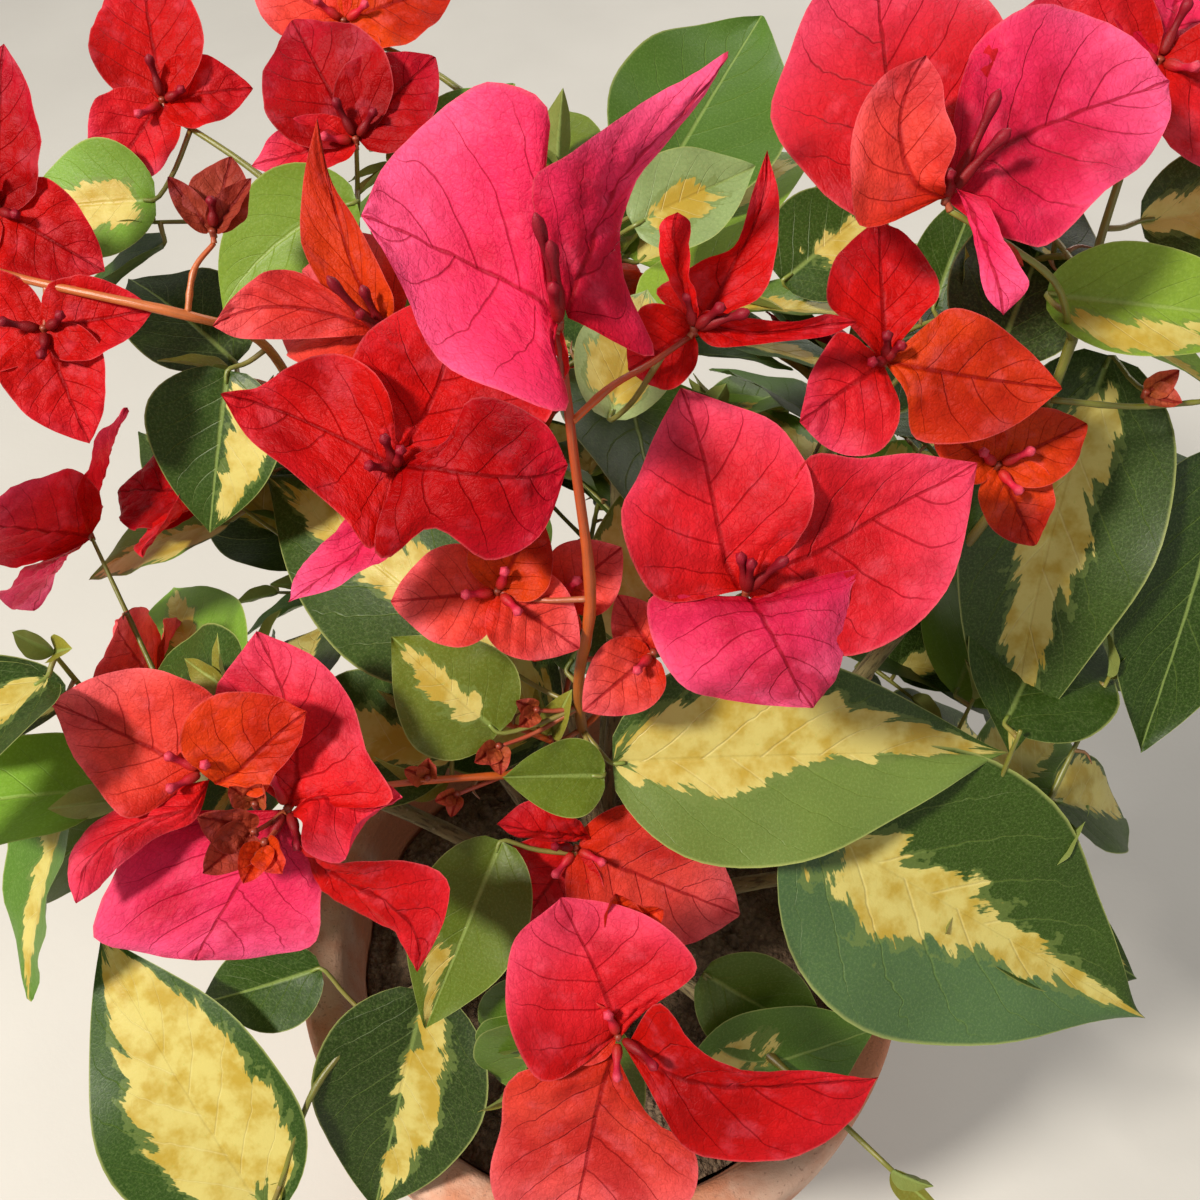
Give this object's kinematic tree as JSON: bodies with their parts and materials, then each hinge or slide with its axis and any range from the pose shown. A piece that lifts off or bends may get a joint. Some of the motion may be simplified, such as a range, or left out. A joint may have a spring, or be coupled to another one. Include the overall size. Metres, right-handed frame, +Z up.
{
  "type": "potted bougainvillea bush",
  "caption": "Small flowering shrub with a short trunk, fanned boughs, sprays of coloured bracts and variegated leaves, rooted in soil in a round terracotta pot with a rim band.",
  "frame": {"origin": "centre of the pot's flat underside, on the ground", "axes": "+Z up, the plant's showing side faces -Y, +X is to the right of a person who looks along +Y"},
  "size_m": [0.3401, 0.285, 0.4343],
  "materials": {
    "terracotta": "matt unglazed clay, dusty",
    "soil": "dry crumbly earth with small stones",
    "bark": "thin ridged bark",
    "foliage": "soft satin leaf, variegated",
    "blossom": "papery, veined, lets light through"
  },
  "bodies": {
    "root": {"pot": "terracotta", "soil": "soil", "trunk": "bark", "bough_centre": "bark", "bough_left": "bark", "bough_far_left": "bark", "bough_back_left": "bark", "bough_back": "bark", "bough_back_right": "bark", "bough_middle_right": "bark", "bough_right": "bark", "bough_centre_right": "bark", "bough_low_right": "bark", "bough_front": "bark", "bough_front_left": "bark", "bough_front_right": "bark", "bough_low_back_left": "bark", "bough_low_back_right": "bark", "bough_low_back": "bark", "bough_low_left": "bark", "spray_crown_top": "blossom", "spray_upper_left": "blossom", "spray_centre_right": "blossom", "spray_middle_right": "blossom", "spray_top_right": "blossom", "spray_left_low": "blossom", "spray_front": "blossom", "spray_front_left": "foliage", "spray_front_right": "foliage", "spray_low_right": "foliage", "spray_far_left": "blossom", "spray_back_left": "blossom", "spray_back": "blossom", "spray_back_right": "foliage", "spray_low_back_left": "foliage", "spray_low_back_right": "foliage", "spray_low_back": "foliage", "spray_low_left": "foliage"}
  },
  "joints": []
}
